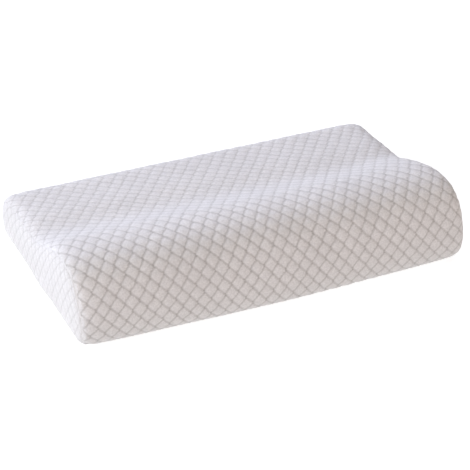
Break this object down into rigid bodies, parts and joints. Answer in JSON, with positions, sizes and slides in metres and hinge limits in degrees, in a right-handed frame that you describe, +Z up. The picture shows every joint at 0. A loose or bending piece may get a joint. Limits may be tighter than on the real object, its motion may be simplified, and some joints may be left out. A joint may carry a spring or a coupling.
{
  "type": "cervical pillow",
  "caption": "Contour neck pillow with a high front lobe, a shallow dip and a low back lobe, filled and covered in pale knit cloth with a diamond lattice.",
  "frame": {"origin": "middle of the flat base that the pillow lies on, at the centre of its length and depth", "axes": "+X along the pillow's length, +Y from the high front lobe to the low back lobe, +Z up"},
  "size_m": [0.4998, 0.3006, 0.1001],
  "materials": {
    "knit_cover": "matt, soft, thick knit, pale grey-white with a thin grey diamond lattice sunk between slightly puffed cells"
  },
  "bodies": {
    "root": {"pillow": "knit_cover"}
  },
  "joints": []
}
